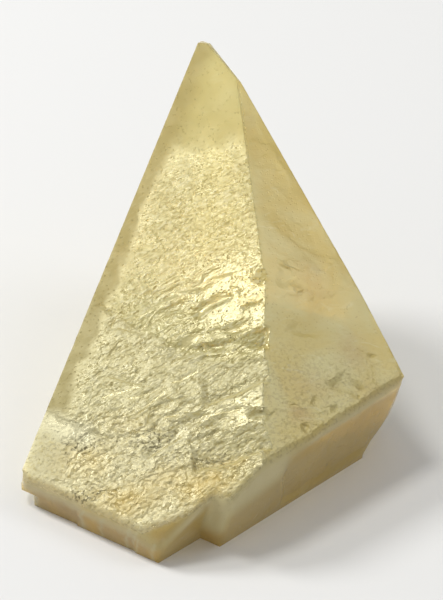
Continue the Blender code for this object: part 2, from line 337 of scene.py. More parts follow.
# where the pits get their painted shade: a ramp over the pit_patch pattern
PIT_SHADE_PATCHES = (0.48, 0.60)
PEEL_RISE = math.radians(32.0)
WISP_TURN = (0.4, 0.3, 0.2)
PIT_CELL = (0.62, 0.62, 0.62)

# Marks that the surface carries, a number at each point
MARKS = (
    "left", "stain", "strip", "gloss", "zone", "pale", "calm", "specks",
    "grain", "blotch", "cleaved", "front", "rim", "seam", "panel",
)

# Layers of colour: the colour, the marks it keeps to, its pattern, and how the pattern gives its share
GROWTH_LAYERS = (
    (OLIVE, ("left",), None, 0.62),
    # painted shade: the strip along the left edge, darkened where refraction shades the stone
    (SHADE_STRAW, ("strip",), None, 0.90),
    (MILK_AND_PAINTED_GLINT, ("zone",), "grit", (0.36, 0.62, 0.35, 0.85)),
    (GOLD, ("zone",), "grit", (0.42, 0.28, 0.00, 0.40)),
    # painted shade in the grain's troughs and painted highlight on its crests, following the peel bump
    (SHADE_STRAW, ("grain", "left"), "peel", (0.50, 0.34, 0.00, 0.80)),
    (MILK_AND_PAINTED_GLINT, ("grain", "left"), "peel", (0.50, 0.66, 0.00, 0.70)),
    (OCHRE, ("stain",), "rust", (0.30, 0.60, 0.60, 1.00)),
    (CHALK, ("pale",), None, 0.90),
    (RUSSET, ("blotch",), "rust", (0.25, 0.65, 0.35, 0.75)),
)
WORN_AND_PAINTED_LIGHT_LAYERS = (
    # partly wear and partly painted light: the rims and wall-top bands brightened where refraction shades
    # them
    (CREAM, ("rim",), None, 0.85),
    (MILK_AND_PAINTED_GLINT, ("seam",), None, 0.50),
    (DARK, ("specks",), "dirt", (0.51, 0.60, 0.00, 0.85)),
)

# The polish: roughness over its pattern, then the mark, where it is full, and the factors at none and at full
ROUGHNESS = (0.3, 0.7, 0.27, 0.36)
ROUGHNESS_FACTORS = (
    ("gloss", 1.0, 0.95, 0.62),
    ("grain", 0.5, 2.00, 1.00),
    ("left", 1.0, 0.36, 1.00),
)
PEEL_DEPTH = 0.14
PIT_DEPTH = 0.05
PEEL_SHARES = (1.0, 0.3)                     # off the calm patches, and on them
# how much painted shade the pits get, off the calm patches and on them
PIT_SHADE_SHARES = (0.2, 0.8)
PIT_BUMP_SHARES = (0.3, 1.0)                 # off the left face, and on it
CALCITE_IOR = 1.58
CALCITE_CLEARNESS = 0.5
GLINT_COLOUR = (1.0, 0.94, 0.62, 1.0)
HAZE_COLOUR = (0.92, 0.80, 0.34, 1.0)
HAZE_DENSITY = 34.0

# The studio, in metres and watts
FLOOR_WIDTH = 6.0
PAPER = (0.69, 0.69, 0.685, 1.0)
PAPER_ROUGHNESS = 0.9
WHITE = (1.0, 1.0, 1.0)
LAMP_TARGET = Vector((0.0, 0.0, 0.02))
LAMPS = {
    "mirror_box": ((-0.36, 0.14, 0.86), 0.24, 3.3, (1.0, 0.99, 0.95)),
    "window_box": ((-0.78, 0.42, 0.80), 0.34, 8.2, WHITE),
    "fill_box": ((0.62, 0.10, 0.80), 0.50, 1.45, WHITE),
}

# The room's brightness: along X from left to right, and along Z from the horizon up
ROOM_SIDES = (-0.7, 0.7, 0.45, 0.41)
ROOM_RISE = (0.0, 0.7, 1.60, 0.92)

# The camera, fitted to the photograph: a long lens looking down on the crystal, slightly rolled
CAMERA_PLACE = Vector((-46.15, -300.64, 218.8)) * MM
CAMERA_AZIMUTH = math.radians(9.18)
CAMERA_ELEVATION = math.radians(33.24)
CAMERA_ROLL = math.radians(4.24)
CAMERA_LENS = 144.0
CAMERA_SENSOR = 36.0
CAMERA_NEAR = 0.01


def hashed(cells, seed):
    """Repeatable numbers from 0 to 1 for rows of whole-number cells."""
    mix = np.full(len(cells), seed * SEED_PRIME & WORD, dtype=np.uint64)
    for column, prime in zip(cells.T, AXIS_PRIMES):
        whole = (column.astype(np.int64) & WORD).astype(np.uint64)
        mix = (mix ^ whole * np.uint64(prime)) & np.uint64(WORD)
        mix = (mix ^ (mix >> np.uint64(INNER_SHIFT))) * np.uint64(STIR_PRIME) & np.uint64(WORD)
    mix ^= mix >> np.uint64(LAST_SHIFT)
    return mix.astype(float) / WORD


def smooth_step(low, high, value):
    part = np.clip((value - low) / (high - low), 0.0, 1.0)
    return part * part * (3.0 - 2.0 * part)


def band(value, start, full, fade, end):
    return smooth_step(start, full, value) * (1.0 - smooth_step(fade, end, value))


def noise(points, seed, octaves=1):
    """Smooth value noise from about -1 to 1, over points with two or three columns."""
    total = np.zeros(len(points))
    weight, reach = 1.0, 0.0
    for octave in range(octaves):
        base = np.floor(points)
        part = points - base
        part = part * part * part * (part * (part * 6.0 - 15.0) + 10.0)
        width = points.shape[1]
        value = np.zeros(len(points))
        for corner in range(2 ** width):
            offset = np.array([(corner >> axis) & 1 for axis in range(width)])
            share = np.prod(np.where(offset, part, 1.0 - part), axis=1)
            value += share * (hashed(base + offset, seed + octave * OCTAVE_SEEDS) * 2.0 - 1.0)
        total += weight * value
        reach += weight
        weight *= 0.5
        points = points * OCTAVE_GROWTH + OCTAVE_SHIFT
    return total / reach


def nearest_cells(points, seed):
    """For each point of a plane, a number for its plate and the way to it from the plate's middle."""
    base = np.floor(points)
    near = np.full(len(points), np.inf)
    number = np.zeros(len(points))
    offset = np.zeros_like(points)
    for row in (-1, 0, 1):
        for column in (-1, 0, 1):
            cell = base + (row, column)
            middle = cell + np.stack([hashed(cell, seed), hashed(cell, seed + 1)], axis=1)
            away = points - middle
            distance = np.hypot(away[:, 0], away[:, 1])
            closer = distance < near
            number = np.where(closer, hashed(cell, seed + 2), number)
            offset[closer] = away[closer]
            near = np.where(closer, distance, near)
    return number, offset


def plates(places, seed, tilt):
    """Small overlapping growth plates: each at its own height and leaning its own way."""
    bend = np.stack([noise(places * 0.9, seed + 5), noise(places * 0.9, seed + 6)], axis=1)
    number, offset = nearest_cells(places + 0.3 * bend, seed)
    turn = number * PLATE_TURN
    lean = offset[:, 0] * np.cos(turn) + offset[:, 1] * np.sin(turn)
    return (number - 0.5) + tilt * lean


def face_axes(normal):
    """Down the slope from the tip, and across to the right, in the plane of a face."""
    down = -(np.array(C_AXIS) - normal * normal.dot(C_AXIS))
    down /= np.linalg.norm(down)
    across = np.cross(normal, down)
    return down, across


def slope_places(points, face):
    """How far down from the tip and how far across each point lies on a growth face, in mm."""
    down, across = face_axes(FACE_NORMALS[FACE_NUMBERS[face]])
    away = (points - np.array(TIP)) / MM
    return away @ down, away @ across


def turned(down, across, grain):
    """Places measured along and beside a grain, in its lengths and widths."""
    rise, length, width = grain
    angle = math.radians(rise)
    along = (across * math.cos(angle) - down * math.sin(angle)) / length
    beside = (across * math.sin(angle) + down * math.cos(angle)) / width
    return np.stack([along, beside], axis=1)


def near_line(down, across, line, width):
    """1 on a bent line of (down, across) points, falling to 0 at a distance from it."""
    nearest = np.full(len(down), np.inf)
    for (d0, a0), (d1, a1) in zip(line, line[1:]):
        length = math.hypot(d1 - d0, a1 - a0)
        part = np.clip(((down - d0) * (d1 - d0) + (across - a0) * (a1 - a0)) / length ** 2, 0.0, 1.0)
        gap = np.hypot(down - d0 - part * (d1 - d0), across - a0 - part * (a1 - a0))
        nearest = np.minimum(nearest, gap)
    return 1.0 - smooth_step(0.0, width, nearest)


def near_spot(down, across, spot, reach_down, reach_across):
    return np.exp(-((down - spot[0]) / reach_down) ** 2 - ((across - spot[1]) / reach_across) ** 2)


def soft_spots(down, across, spots):
    """Each of several soft spots at its own strength, a row for each."""
    return np.array([strength * near_spot(down, across, *spot) for *spot, strength in spots])


def calm_patches(down, across):
    """The two flat patches of the left face beside the ridge, from 0 to 1."""
    upper = near_spot(down, across, *CALM_UPPER)
    lower = near_spot(down, across, *CALM_LOWER)
    return np.clip(1.5 * np.maximum(upper, 0.8 * lower), 0.0, 1.0)


def left_relief(points):
    """Height of the left growth face over its plane, in mm."""
    down, across = slope_places(points, "left")
    flat_places = np.stack([down, across], axis=1)
    grained = {name: turned(down, across, grain) for name, grain in LEFT_GRAINS.items()}
    high = LEFT_HEIGHTS
    unrest = 1.0 - (1.0 - CALM_RELIEF) * calm_patches(down, across)
    corroded = smooth_step(*CORRODED, down) * unrest
    height = high["swell"] * noise(flat_places / SWELL_SIZE, 21)
    wrinkled = band(down, *WRINKLED) * smooth_step(-6.0, 2.0, across)
    height += high["wrinkle"] * noise(grained["wrinkle"], 22, 2) * wrinkled
    height += high["peel"] * noise(grained["peel"], 23, 2) * band(down, *PEELED)
    flake_height = high["flake"] + high["corroded_flake"] * corroded
    height += flake_height * plates(grained["flake"], 24, 1.1) * smooth_step(*FLAKED, down)
    chip_height = high["chip"] + high["corroded_chip"] * corroded
    height += chip_height * plates(grained["chip"], 34, 1.1) * smooth_step(*CHIPPED, down)
    shelved = smooth_step(*SHELVED, down) * (1.0 - 0.9 * calm_patches(down, across))
    height += high["shelf"] * plates(grained["shelf"], 44, 0.35) * shelved
    height += high["grit"] * noise(grained["grit"], 25, 3) * corroded
    hollow = smooth_step(0.50, 0.80, noise(grained["hollow"], 26))
    height -= high["hollow"] * hollow * smooth_step(*HOLLOWED, down) * unrest
    strip_gap = across - STRIP_SLOPE * down
    beside_strip = smooth_step(STRIP_WIDTH * 0.55, STRIP_WIDTH * 1.5, strip_gap)
    height *= STRIP_RELIEF + (1.0 - STRIP_RELIEF) * beside_strip
    gouge_down = down + GOUGE_WANDER * noise(flat_places / GOUGE_WANDER_SIZE, 27)
    for start, end, width, depth in GOUGES:
        height -= depth * near_line(gouge_down, across, (start, end), width)
    trough = band(down + TROUGH_LEAN * across, *TROUGH) * smooth_step(-3.0, 3.0, across)
    height -= high["trough"] * trough
    height -= high["crack"] * near_line(down, across, CRACK, CRACK_WIDTH)
    height -= high["zone_line"] * near_line(down, across, ZONE_LINE, ZONE_LINE_WIDTH)
    return height


def right_relief(points):
    """Height of the right growth face: nearly flat, with low plates and broken pits toward its foot."""
    down, across = slope_places(points, "right")
    flat_places = np.stack([down, across], axis=1)
    lower = smooth_step(*RIGHT_LOWER, down)
    grained = {name: turned(down, across, grain) for name, grain in RIGHT_GRAINS.items()}
    high = RIGHT_HEIGHTS
    height = high["swell"] * noise(flat_places / SWELL_SIZE, 41)
    height += high["ripple"] * noise(flat_places / RIPPLE_SIZE, 42, 2)
    height += high["plate"] * plates(grained["plate"], 43, 0.5) * (0.10 + 0.90 * lower)
    height += high["fine_plate"] * plates(flat_places / FINE_PLATE_SIZE, 46, 1.0) * lower
    pin_pits = smooth_step(0.62, 0.82, noise(flat_places / PIN_PIT_SIZE, 44))
    height -= high["pin_pit"] * pin_pits * (0.06 + 0.94 * lower)
    for spot in RIGHT_PITS:
        height -= high["broken_pit"] * near_spot(down, across, spot, *RIGHT_PIT_REACH)
    flash = sum(near_spot(down, across, *spot) for spot in FLASH_SPOTS)
    height += high["flash"] * flash * noise(grained["flash"], 45)
    return height


def flank_relief(points, face, seed):
    """Height of a flank or back face: growth plates, patches of finer ones, scratches and pin pits."""
    down, across = slope_places(points, face)
    flat_places = np.stack([down, across], axis=1)
    grained = {name: turned(down, across, grain) for name, grain in FLANK_GRAINS.items()}
    high = FLANK_HEIGHTS
    growth = 0.2 + 0.8 * smooth_step(*FLANK_GROWN, down)
    patchy = smooth_step(-0.35, 0.35, noise(flat_places / FLANK_PATCH_SIZE, seed + 9))
    height = high["swell"] * noise(flat_places / SWELL_SIZE, seed)
    height += high["plate"] * plates(grained["plate"], seed + 1, 0.35) * growth
    height += high["fine_plate"] * plates(grained["fine_plate"], seed + 5, 0.9) * growth * patchy
    height += high["scratch"] * noise(grained["scratch"], seed + 2, 2) * (0.3 + 0.7 * growth)
    pin_pits = smooth_step(0.58, 0.8, noise(flat_places / FLANK_PIT_SIZE, seed + 3))
    height -= high["pin_pit"] * pin_pits * smooth_step(*FLANK_PITTED, down)
    return height


def wall_relief(points, face, seed):
    """Height of a cleaved wall: low steps along it, thin seams and small chips."""
    normal = Vector(FACES[face]).normalized()
    side = np.array(Vector((0.0, 0.0, 1.0)).cross(normal).normalized())
    places = np.stack([points @ side / MM, points[:, 2] / MM], axis=1)
    high = WALL_HEIGHTS
    height = high["step"] * plates(places / WALL_STEP, seed, 0.10)
    height += high["seam"] * noise(places / WALL_SEAM, seed + 1, 2)
    height -= high["chip"] * smooth_step(0.60, 0.85, noise(places / WALL_CHIP, seed + 2))
    return height


def relief(points, face):
    """Height of any face over its plane, in mm."""
    seed = 60 + 7 * FACE_NUMBERS[face]
    if face == "left":
        return left_relief(points)
    if face == "right":
        return right_relief(points)
    if face in FLANKS:
        return flank_relief(points, face, seed)
    if face in WALLS:
        return wall_relief(points, face, seed)
    if face == "sole":
        return np.zeros(len(points))
    lumps = LUMP_HEIGHT * noise(points / LUMP_SIZE, seed, 2)
    return lumps + WORN_GRIT_HEIGHT * noise(points / WORN_GRIT_SIZE, seed + 3)


def flat_facets():
    """The crystal from the frame as whole flat facets."""
    bm = bmesh.new()
    bm.from_mesh(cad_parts[NODE].data)
    bmesh.ops.remove_doubles(bm, verts=bm.verts[:], dist=MERGE_GAP)
    bmesh.ops.dissolve_limit(bm, angle_limit=FLAT_ANGLE, verts=bm.verts[:], edges=bm.edges[:])
    bm.verts.index_update()
    bm.edges.index_update()
    return bm


def inside_outline(places, outline):
    """Which places lie inside a flat outline, by counting the sides that a line to each crosses."""
    inside = np.zeros(len(places), dtype=bool)
    for (ax, ay), (bx, by) in zip(outline, np.roll(outline, -1, axis=0)):
        if ay != by:
            crosses = (ay > places[:, 1]) != (by > places[:, 1])
            inside ^= crosses & (places[:, 0] < (bx - ax) * (places[:, 1] - ay) / (by - ay) + ax)
    return inside


def scattered_grid(outline, spacing, rng):
    """Points of a loose triangular grid inside an outline, clear of its own points."""
    low, high = outline.min(0), outline.max(0)
    rows = np.arange(int((high[1] - low[1]) / (spacing * ROW_PITCH)) + 2)
    columns = np.arange(int((high[0] - low[0]) / spacing) + 2)
    across, up = np.meshgrid(columns, rows)
    grid = np.stack([
        low[0] + (across + 0.5 * (up % 2)).ravel() * spacing,
        low[1] + up.ravel() * spacing * ROW_PITCH,
    ], axis=1)
    grid += rng.uniform(-GRID_SHAKE, GRID_SHAKE, grid.shape) * spacing
    grid = grid[inside_outline(grid, outline)]
    gap = np.full(len(grid), np.inf)
    for point in outline:
        gap = np.minimum(gap, np.hypot(grid[:, 0] - point[0], grid[:, 1] - point[1]))
    return grid[gap > EDGE_CLEARANCE * spacing]


def facet_spacing(normal):
    """How far apart the points of a facet lie: closest on the left face, widest on the sole."""
    if normal.z < SOLE_SLOPE:
        return SOLE_SPACING
    if normal.dot(LEFT_NORMAL) > SAME_FACE:
        return LEFT_SPACING
    return SPACING


def refined_crystal():
    """Points and small triangles of the crystal, facet by facet, with every edge of it kept."""
    bm = flat_facets()
    rng = np.random.default_rng(GRID_SEED)
    points = [vertex.co.copy() for vertex in bm.verts]
    along = {}
    for edge in bm.edges:
        start, end = edge.verts
        parts = max(1, math.ceil(edge.calc_length() / SPACING))
        along[edge.index] = (start.index, list(range(len(points), len(points) + parts - 1)))
        points.extend(start.co.lerp(end.co, step / parts) for step in range(1, parts))
    triangles = []
    normals = []
    areas = []
    for facet in bm.faces:
        normal = facet.normal.copy()
        side = normal.orthogonal().normalized()
        up = normal.cross(side)
        known = []
        for corner in facet.loops:
            first, inner = along[corner.edge.index]
            known.append(corner.vert.index)
            known.extend(inner if corner.vert.index == first else inner[::-1])
        count = len(known)
        outline = np.array([(points[index].dot(side), points[index].dot(up)) for index in known])
        height = sum(points[index].dot(normal) for index in known) / count
        filling = scattered_grid(outline, facet_spacing(normal), rng)
        known.extend(range(len(points), len(points) + len(filling)))
        points.extend(side * x + up * y + normal * height for x, y in filling)
        places = [Vector(place) for place in np.concatenate([outline, filling])]
        rim = [(index, (index + 1) % count) for index in range(count)]
        _, _, corners, sources, _, _ = delaunay_2d_cdt(places, rim, [], 1, SAME_PLACE)
        triangles.extend([known[sources[index][0]] for index in triangle] for triangle in corners)
        normals.extend([normal] * len(corners))
        areas.extend([facet.calc_area()] * len(corners))
    bm.free()
    return np.array(points), np.array(triangles), np.array(normals), np.array(areas)


def faces_of_points(points, triangles, normals, areas):
    """For each point, which main faces meet there, and whether it is on the side of a ledge."""
    likeness = normals @ FACE_NORMALS.T
    face = likeness.argmax(1)
    middles = points[triangles].mean(1)
    outward = (middles * FACE_NORMALS[face]).sum(1)
    reach = np.array([(points @ normal).max() for normal in FACE_NORMALS])
    own = (reach[face] - outward < NEAR_FACE) | (areas > SMALL_FACET)
    known = (likeness.max(1) > SAME_FACE) & own
    touches = np.zeros((len(points), len(FACES)), dtype=bool)
    on_side = np.zeros(len(points), dtype=bool)
    for corner in range(3):
        touches[triangles[known, corner], face[known]] = True
        on_side[triangles[~known, corner]] = True
    return touches, on_side


def unique_edges(triangles):
    sides = [triangles[:, pair] for pair in ([0, 1], [1, 2], [2, 0])]
    return np.unique(np.sort(np.concatenate(sides), axis=1), axis=0)


def neighbour_mean(values, edges):
    total = np.zeros_like(values)
    count = np.zeros(len(values))
    for here, there in ((0, 1), (1, 0)):
        np.add.at(total, edges[:, here], values[edges[:, there]])
        np.add.at(count, edges[:, here], 1.0)
    return total / count[:, None]


def nearest_distance(points, chosen):
    """Distance of each point to the nearest of the chosen ones."""
    indices = np.flatnonzero(chosen)
    tree = kdtree.KDTree(len(indices))
    for index in indices:
        tree.insert(points[index], index)
    tree.balance()
    return np.array([tree.find(point)[2] for point in points])


def relief_shift(points, touches, edges):
    """How each point moves with the relief of the faces that meet there, and wanders a little inside them."""
    distance = nearest_distance(points, touches.sum(1) > 1)
    wander = np.stack([noise(points / WANDER_SIZE, seed, 3) for seed in WANDER_SEEDS], axis=1)
    wander *= (WANDER * smooth_step(0.0, WANDER_FADE, distance))[:, None]
    hold = np.repeat(np.eye(3)[None] * HOLD, len(points), axis=0)
    push = np.zeros((len(points), 3))
    for face, number in FACE_NUMBERS.items():
        here = np.flatnonzero(touches[:, number])
        if len(here):
            normal = FACE_NORMALS[number]
            share = EDGE_RELIEF + (1.0 - EDGE_RELIEF) * smooth_step(0.0, EDGE_FADE, distance[here])
            hold[here] += np.outer(normal, normal)
            push[here] += (relief(points[here], face) * MM * share)[:, None] * normal
            wander[here] -= (wander[here] @ normal)[:, None] * normal
    shift = np.linalg.solve(hold, push[:, :, None])[:, :, 0] + wander
    shift[touches[:, FACE_NUMBERS["sole"]]] = 0.0
    loose = ~touches.any(1)
    shift[loose] = 0.0
    for _ in range(LOOSE_TURNS):
        shift[loose] = neighbour_mean(shift, edges)[loose]
    return shift


def worn(moved, points, touches, on_side, edges):
    """The moved points with the broken rims rounded, the ledges eased and the ridges just touched."""
    sole = touches[:, FACE_NUMBERS["sole"]]
    broken = touches[:, [FACE_NUMBERS[face] for face in WALLS + BEVELS]].any(1)
    crisp = touches.sum(1) > 1
    rims = nearest_distance(points, crisp & broken & ~sole)
    ledges = nearest_distance(points, on_side & ~sole)
    share = RIM_WEAR * (1.0 - smooth_step(*RIM_REACH, rims))
    share = np.maximum(share, LEDGE_WEAR * (1.0 - smooth_step(*LEDGE_REACH, ledges)))
    share[crisp & ~broken] = RIDGE_WEAR
    share[sole] = 0.0
    for turn in range(WEAR_TURNS):
        if turn == RIDGE_TURNS:
            share[crisp & ~broken] = 0.0
        moved = moved + share[:, None] * (neighbour_mean(moved, edges) - moved)
    moved[:, 2] = np.maximum(moved[:, 2], np.where(sole, 0.0, FLOOR_GAP))
    return moved


def unfolded(points, triangles, edges, held):
    """The points with every turned-over triangle eased back toward its neighbours."""
    for _ in range(UNFOLD_TURNS):
        corners = points[triangles]
        normals = np.cross(corners[:, 1] - corners[:, 0], corners[:, 2] - corners[:, 0])
        normals /= np.maximum(np.linalg.norm(normals, axis=1), TINY)[:, None]
        around = np.zeros((len(points), 3))
        for corner in range(3):
            np.add.at(around, triangles[:, corner], normals)
        around /= np.maximum(np.linalg.norm(around, axis=1), TINY)[:, None]
        agreement = np.einsum("ij,ikj->ik", normals, around[triangles]).min(1)
        folded = np.unique(triangles[agreement < LEAST_AGREEMENT])
        folded = folded[~held[folded]]
        if not len(folded):
            break
        points[folded] += UNFOLD_SHARE * (neighbour_mean(points, edges) - points)[folded]
    return points


def left_tints(points, on_face):
    """Where the marks of the left face lie, and how strong each is."""
    down, across = slope_places(points, "left")
    left = on_face["left"]
    mottle = noise(points / (5.0 * MM), 71, 2)
    stained = np.maximum(left, on_face["front_bevel"]) * (0.75 + 0.5 * mottle)
    # The strip's darker colour is painted shade, from refraction along the face's left edge.
    strip_gap = across - STRIP_SLOPE * down + 0.8 * mottle
    strip = (1.0 - smooth_step(STRIP_WIDTH * 0.35, STRIP_WIDTH * 1.35, strip_gap)) * left
    strip *= 1.0 - smooth_step(*STRIP_END, down - STRIP_END_LEAN * (across - STRIP_END_ACROSS))
    sheen = sum(share * band(down, *reach) for share, reach in SHEEN_BANDS)
    gloss = np.maximum(smooth_step(*SHEEN_SIDE, across) * sheen, soft_spots(down, across, GLOSSY).max(0))
    right_specks = 0.25 * on_face["right"] * smooth_step(*RIGHT_SPECK_REACH, down)
    zone_start = np.interp(across, [place for _, place in ZONE_EDGE], [reach for reach, _ in ZONE_EDGE])
    corner = smooth_step(*CORNER_STRETCH, down) * (1.0 - smooth_step(*CORNER_SIDE, across))
    zone = left * smooth_step(*ZONE_BORDER, down - zone_start) * (1.0 - 0.8 * strip)
    specks = soft_spots(down, across, SPECKLED).sum(0) + SPECK_HAZE * smooth_step(*SPECK_REACH, down)
    # The grain mark sets the peel bump, and in colour the painted shade of its troughs and the painted
    # highlight of its crests.
    grain = smooth_step(*GRAINED, down) * (1.0 - 0.85 * strip)
    grain *= 1.0 - 0.8 * near_spot(down, across, *SMOOTH_CORNER)
    grain *= 1.0 - 0.40 * corner
    return {
        "left": left,
        "stain": soft_spots(down, across, STAINS).max(0) * stained,
        "strip": strip,
        "gloss": left * gloss,
        "zone": zone * (0.75 + 0.75 * corner),
        "pale": left * near_line(down, across, PALE_CORNER, PALE_WIDTH),
        "calm": left * calm_patches(down, across),
        "specks": np.clip(specks, 0.0, 1.0) * left + right_specks,
        "grain": left * grain,
    }


def right_tints(points, on_face):
    """The brown clouds under the right face, and the grain of every face but the left one."""
    down, across = slope_places(points, "right")
    right = on_face["right"]
    return {
        "blotch": soft_spots(down, across, BROWN_CLOUDS).max(0) * right,
        "grain": (1.0 - on_face["left"]) * (0.10 + 0.25 * right * smooth_step(*RIGHT_GRAINED, down)),
    }


def wall_tints(points, on_face, edges):
    """Where the cleaved walls, worn rims, milky bands and seams lie, with soft borders; the rims and bands
    are partly painted light.
    """
    walls = np.maximum.reduce([on_face[face] for face in WALLS])
    soft = np.stack([
        walls * np.where(on_face["wall_left"] > 0.0, *WALL_SHARES),
        np.maximum(on_face["bevel_left"], on_face["bevel_right"]),
        on_face["front_bevel"],
    ], axis=1)
    for _ in range(TINT_TURNS):
        soft = neighbour_mean(soft, edges)
    cleaved, rim, front = soft.T
    depths = []
    for face in ("left", "right"):
        outward = points @ FACE_NORMALS[FACE_NUMBERS[face]] / MM
        depths.append(outward[on_face[face] > 0.0].max() - outward)
    below = np.min(depths, axis=0) + 0.5 * noise(points / (2.2 * MM), 73, 2)
    # The band's pale colour is partly milky stone and partly painted light.
    milky_and_painted_light_rim = (1.0 - smooth_step(*MILKY_AND_PAINTED_LIGHT_BAND, below)) * walls
    for _ in range(RIM_TINT_TURNS):
        milky_and_painted_light_rim = neighbour_mean(milky_and_painted_light_rim[:, None], edges)[:, 0]
    places = points[:, 0] / MM + 0.25 * noise(points / (1.5 * MM), 72)
    panel = np.array(PANEL_TINTS)[np.searchsorted(SEAMS, places)]
    seam = 1.0 - smooth_step(*SEAM_WIDTH, np.min([abs(places - place) for place in SEAMS], axis=0))
    return {
        "cleaved": cleaved,
        "front": front,
        "rim": np.maximum(rim, milky_and_painted_light_rim),
        "seam": seam * on_face["wall_left"],
        "panel": np.where(on_face["wall_left"] > 0.0, panel, OTHER_PANELS),
    }


def crystal_piece():
    """The crystal's surface, with numbers at each point that say where the stone's marks lie."""
    points, triangles, normals, areas = refined_crystal()
    touches, on_side = faces_of_points(points, triangles, normals, areas)
    edges = unique_edges(triangles)
    moved = worn(points + relief_shift(points, touches, edges), points, touches, on_side, edges)
    surface = unfolded(moved, triangles, edges, touches[:, FACE_NUMBERS["sole"]])
    mesh = bpy.data.meshes.new("calcite_surface")
    mesh.from_pydata(surface, [], triangles)
    on_face = {face: touches[:, number].astype(float) for face, number in FACE_NUMBERS.items()}
    marks = {**left_tints(points, on_face), **wall_tints(points, on_face, edges)}
    for name, values in right_tints(points, on_face).items():
        marks[name] = marks.get(name, 0.0) + values
    for name, values in marks.items():
        mesh.attributes.new(name, "FLOAT", "POINT").data.foreach_set("value", values.astype(np.float32))
    piece = bpy.data.objects.new("calcite_surface", mesh)
    bpy.context.scene.collection.objects.link(piece)
    return piece


class Bench:
    """Short calls for adding nodes to one node tree and joining them."""

    def __init__(self, tree):
        self.nodes = tree.nodes
        self.links = tree.links

    def give(self, socket, value):
        if isinstance(value, bpy.types.NodeSocket):
            self.links.new(value, socket)
        else:
            socket.default_value = value

    def join(self, operation, first, second, clamp=False):
        node = self.nodes.new("ShaderNodeMath")
        node.operation = operation
        node.use_clamp = clamp
        self.give(node.inputs[0], first)
        self.give(node.inputs[1], second)
        return node.outputs[0]

    def times(self, first, second):
        return self.join("MULTIPLY", first, second)

    def mark(self, name):
        node = self.nodes.new("ShaderNodeAttribute")
        node.attribute_name = name
        return node.outputs["Fac"]

    def places(self, size, turn=NO_TURN):
        """Object coordinates in units of a size given in mm, along turned axes."""
        coordinates = self.nodes.new("ShaderNodeTexCoord")
        mapping = self.nodes.new("ShaderNodeMapping")
        self.links.new(coordinates.outputs["Object"], mapping.inputs["Vector"])
        mapping.vector_type = "TEXTURE"
        mapping.inputs["Rotation"].default_value = turn
        mapping.inputs["Scale"].default_value = [length * MM for length in size]
        return mapping.outputs[0]

    def pattern(self, name, turn):
        """One of the stone's noise patterns."""
        size, detail, rough, distortion = PATTERNS[name]
        node = self.nodes.new("ShaderNodeTexNoise")
        self.give(node.inputs["Vector"], self.places(size, turn))
        node.inputs["Scale"].default_value = 1.0
        node.inputs["Detail"].default_value = detail
        node.inputs["Roughness"].default_value = rough
        node.inputs["Distortion"].default_value = distortion
        return node.outputs[0]

    def spots(self, size):
        """Distance to the nearest of many scattered points."""
        node = self.nodes.new("ShaderNodeTexVoronoi")
        self.give(node.inputs["Vector"], self.places(size))
        node.inputs["Scale"].default_value = 1.0
        return node.outputs["Distance"]

    def ramp(self, value, low, high, start=0.0, end=1.0):
        node = self.nodes.new("ShaderNodeMapRange")
        node.interpolation_type = "SMOOTHSTEP"
        limits = {"Value": value, "From Min": low, "From Max": high, "To Min": start, "To Max": end}
        for name, number in limits.items():
            self.give(node.inputs[name], number)
        return node.outputs[0]

    def blend(self, share, first, second):
        node = self.nodes.new("ShaderNodeMix")
        node.data_type = "RGBA"
        self.give(node.inputs[0], share)
        self.give(node.inputs[6], first)
        self.give(node.inputs[7], second)
        return node.outputs[2]

    def bump(self, height, distance, strength, normal=None):
        node = self.nodes.new("ShaderNodeBump")
        node.inputs["Distance"].default_value = distance * MM
        self.give(node.inputs["Strength"], strength)
        self.give(node.inputs["Height"], height)
        if normal is not None:
            self.links.new(normal, node.inputs["Normal"])
        return node.outputs[0]


def grain_turn(angle):
    """The turn that lays texture axes along a grain of the left face, beside it, and outward."""
    normal = np.array(LEFT_NORMAL)
    down, across = face_axes(normal)
    along = across * math.cos(angle) - down * math.sin(angle)
    return Matrix((along, np.cross(normal, along), normal)).transposed().to_euler()


def layered(bench, colour, layers, marks, patterns):
    """The colour with each layer laid over it where its marks and its pattern put it."""
    for paint, names, pattern, amount in layers:
        share = bench.ramp(patterns[pattern], *amount) if pattern else amount
        for name in names:
            share = bench.times(share, marks[name])
        colour = bench.blend(share, colour, paint)
    return colour


def stone_colour(bench, marks, patterns, pit):
    """Honey with milky veils, stained growth faces, rosy and amber walls, pale worn rims partly brightened as
    painted light, painted shade on the edge strip, in the grain's troughs and in the pits, and painted
    highlight on the grain's crests.
    """
    colour = bench.blend(bench.ramp(patterns["cloud"], *HONEY_CLOUDS), HONEY, PALE_HONEY)
    colour = bench.blend(bench.ramp(patterns["wisp"], *MILKY_VEILS), colour, MILK_AND_PAINTED_GLINT)
    colour = layered(bench, colour, GROWTH_LAYERS, marks, patterns)
    streak = bench.ramp(patterns["streak"], *AMBER_STREAKS)
    wall_colour = bench.blend(bench.join("ADD", streak, marks["panel"], clamp=True), ROSE, AMBER)
    wall_share = bench.join("MAXIMUM", marks["cleaved"], bench.times(marks["front"], FRONT_SHARE))
    colour = bench.blend(bench.times(wall_share, WALL_SHARE), colour, wall_colour)
    colour = layered(bench, colour, WORN_AND_PAINTED_LIGHT_LAYERS, marks, patterns)
    # painted shade: the pit hollows darkened toward DARK, most on the calm patches
    pit_shade = bench.times(pit, bench.ramp(patterns["pit_patch"], *PIT_SHADE_PATCHES))
    pit_shade = bench.times(pit_shade, bench.ramp(marks["calm"], 0.0, 1.0, *PIT_SHADE_SHARES))
    return bench.blend(pit_shade, colour, DARK)


def stone_polish(bench, marks, patterns):
    """How rough the stone is: glossy patches, the grained left face, and smoother faces elsewhere."""
    rough = bench.ramp(patterns["polish"], *ROUGHNESS)
    for name, full, at_none, at_full in ROUGHNESS_FACTORS:
        rough = bench.times(rough, bench.ramp(marks[name], 0.0, full, at_none, at_full))
    return rough


